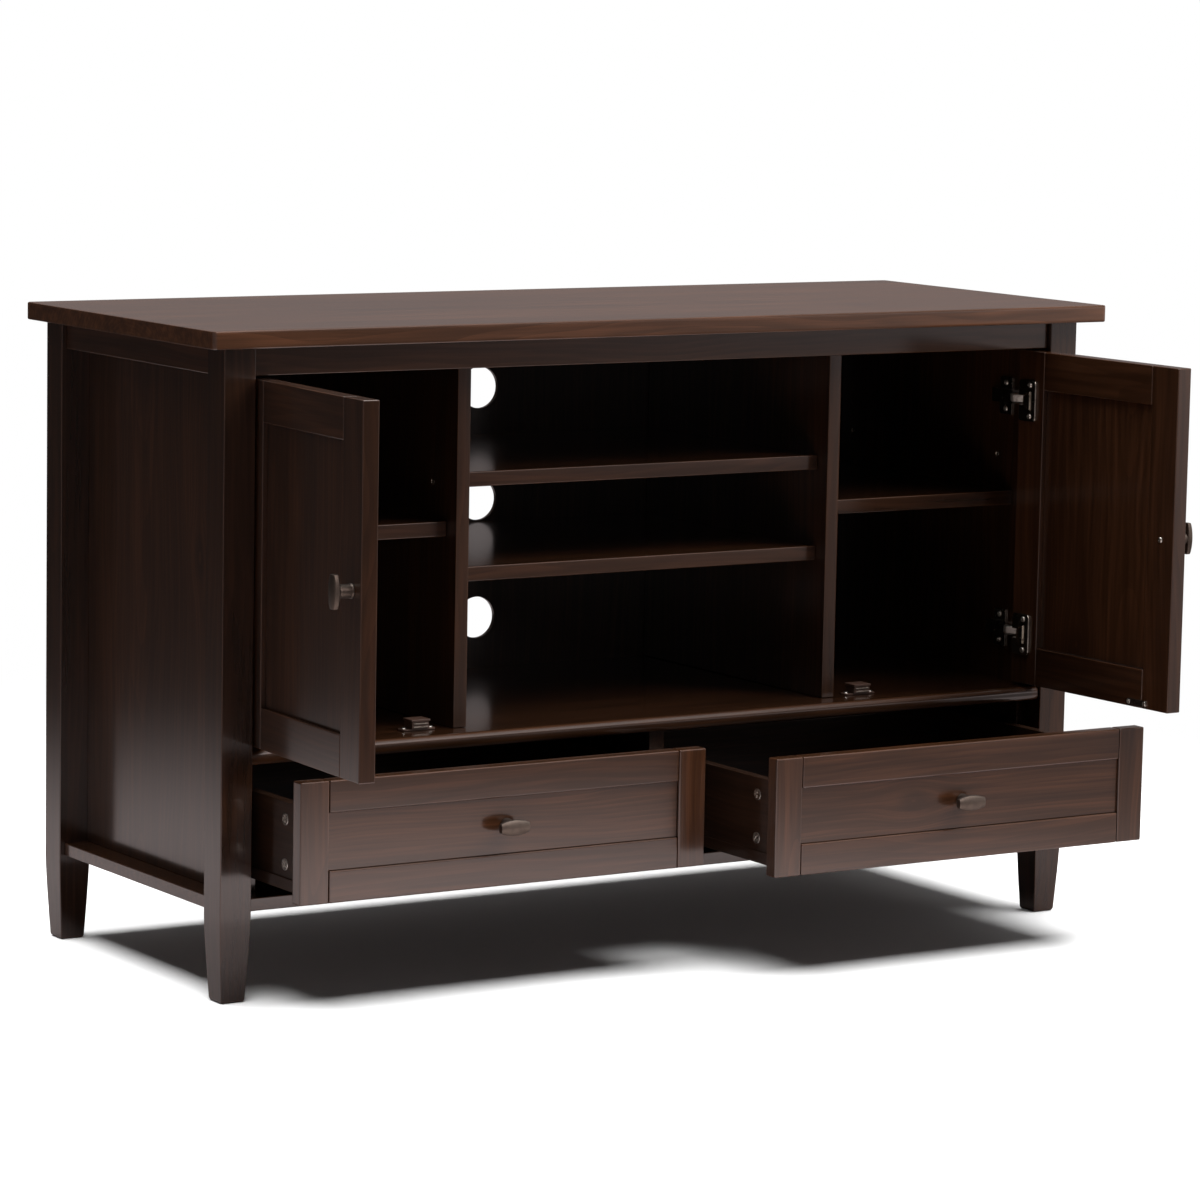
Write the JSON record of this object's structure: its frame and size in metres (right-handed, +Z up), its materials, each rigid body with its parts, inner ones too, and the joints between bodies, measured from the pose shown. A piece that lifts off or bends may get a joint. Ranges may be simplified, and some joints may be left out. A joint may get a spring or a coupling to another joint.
{
  "type": "tv stand",
  "caption": "Stained pine tv stand on tapered posts, with framed cupboard doors, framed drawers below and an open centre bay with shelves and cable holes.",
  "frame": {"origin": "on the floor, at the middle of the box round the object as it rests with its doors and drawers open", "axes": "+X to the right of someone facing the front, +Y to the back, +Z up"},
  "size_m": [1.194, 0.6804, 0.7312],
  "materials": {
    "stained_pine": "dark walnut stain under semi-gloss lacquer",
    "inner_pine": "dark stain, satin",
    "nickel": "nickel plated pressed steel",
    "pewter": "aged pewter, semi-gloss",
    "catch_plastic": "brown moulded plastic"
  },
  "bodies": {
    "cabinet": {"back_panel": "inner_pine", "bottom_board": "stained_pine", "catch_left": "catch_plastic", "catch_right": "catch_plastic", "centre_shelf_lower": "stained_pine", "centre_shelf_upper": "stained_pine", "deck_board": "stained_pine", "divider_left": "stained_pine", "divider_right": "stained_pine", "drawer_partition": "inner_pine", "drawer_runner_left": "inner_pine", "drawer_runner_right": "inner_pine", "front_rail": "stained_pine", "hinge_arm_left_lower": "nickel", "hinge_arm_left_upper": "nickel", "hinge_arm_right_lower": "nickel", "hinge_arm_right_upper": "nickel", "post_back_left": "stained_pine", "post_back_right": "stained_pine", "post_front_left": "stained_pine", "post_front_right": "stained_pine", "side_panel_left": "stained_pine", "side_panel_right": "stained_pine", "side_rail_left": "stained_pine", "side_rail_right": "stained_pine", "side_shelf_left": "stained_pine", "side_shelf_right": "stained_pine", "top_panel": "stained_pine"},
    "door_left": {"door_left_bottom_rail": "stained_pine", "door_left_hinge_plate_lower": "nickel", "door_left_hinge_plate_upper": "nickel", "door_left_hinge_stile": "stained_pine", "door_left_knob": "pewter", "door_left_lock_stile": "stained_pine", "door_left_panel": "stained_pine", "door_left_strike_plate": "nickel", "door_left_top_rail": "stained_pine"},
    "door_right": {"door_right_bottom_rail": "stained_pine", "door_right_hinge_plate_lower": "nickel", "door_right_hinge_plate_upper": "nickel", "door_right_hinge_stile": "stained_pine", "door_right_knob": "pewter", "door_right_lock_stile": "stained_pine", "door_right_panel": "stained_pine", "door_right_strike_plate": "nickel", "door_right_top_rail": "stained_pine"},
    "drawer_left": {"drawer_left_back": "inner_pine", "drawer_left_floor": "inner_pine", "drawer_left_front_frame": "stained_pine", "drawer_left_front_panel": "stained_pine", "drawer_left_inner_side": "inner_pine", "drawer_left_knob": "pewter", "drawer_left_outer_side": "inner_pine"},
    "drawer_right": {"drawer_right_back": "inner_pine", "drawer_right_floor": "inner_pine", "drawer_right_front_frame": "stained_pine", "drawer_right_front_panel": "stained_pine", "drawer_right_inner_side": "inner_pine", "drawer_right_knob": "pewter", "drawer_right_outer_side": "inner_pine"}
  },
  "joints": [
    {"name": "left_door_swing", "type": "hinge", "parent": "cabinet", "child": "door_left", "pos_m": [-0.5236, -0.06285, 0.4785], "axis": [0, 0, -1], "range_deg": [-93.2, 2.3]},
    {"name": "right_door_swing", "type": "hinge", "parent": "cabinet", "child": "door_right", "pos_m": [0.5236, -0.06285, 0.4785], "axis": [0, 0, 1], "range_deg": [-92, 3.5]},
    {"name": "left_drawer_slide", "type": "slide", "parent": "cabinet", "child": "drawer_left", "axis": [0, -1, 0], "range_m": [-0.1055, 0.1645]},
    {"name": "right_drawer_slide", "type": "slide", "parent": "cabinet", "child": "drawer_right", "axis": [0, -1, 0], "range_m": [-0.2045, 0.0655]}
  ]
}
